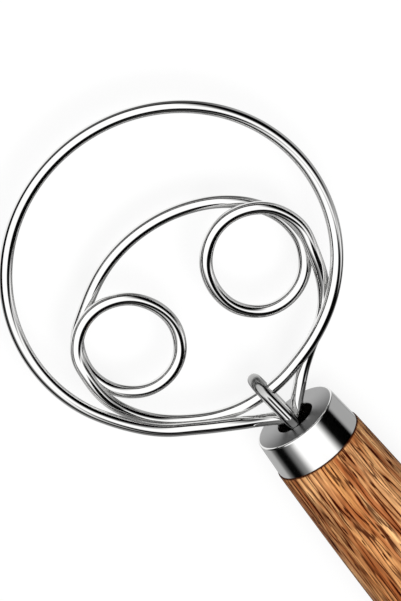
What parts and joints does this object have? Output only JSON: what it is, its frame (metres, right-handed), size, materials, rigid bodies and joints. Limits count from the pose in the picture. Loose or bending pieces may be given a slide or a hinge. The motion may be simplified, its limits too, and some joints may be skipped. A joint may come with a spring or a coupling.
{
  "type": "dough whisk",
  "caption": "Hand dough whisk: a bent wire head with a ring and inner eyes, held in a steel ferrule on a turned wooden handle with a hanging hole.",
  "frame": {"origin": "centre of the hanging hole, on the axis of the handle", "axes": "+X along the handle towards the wire head; +Z square to the flat of the head and along the hanging hole; +Y across the head, towards the side where the wire starts"},
  "size_m": [0.3442, 0.092, 0.0314],
  "materials": {
    "oiled_oak": "oiled",
    "ferrule_steel": "polished",
    "wire_steel": "polished",
    "keeper_steel": "polished",
    "potting_resin": "cured"
  },
  "bodies": {
    "root": {"handle": "oiled_oak", "ferrule": "ferrule_steel", "whisk_wire": "wire_steel", "keeper": "keeper_steel", "resin_plug": "potting_resin"}
  },
  "joints": []
}
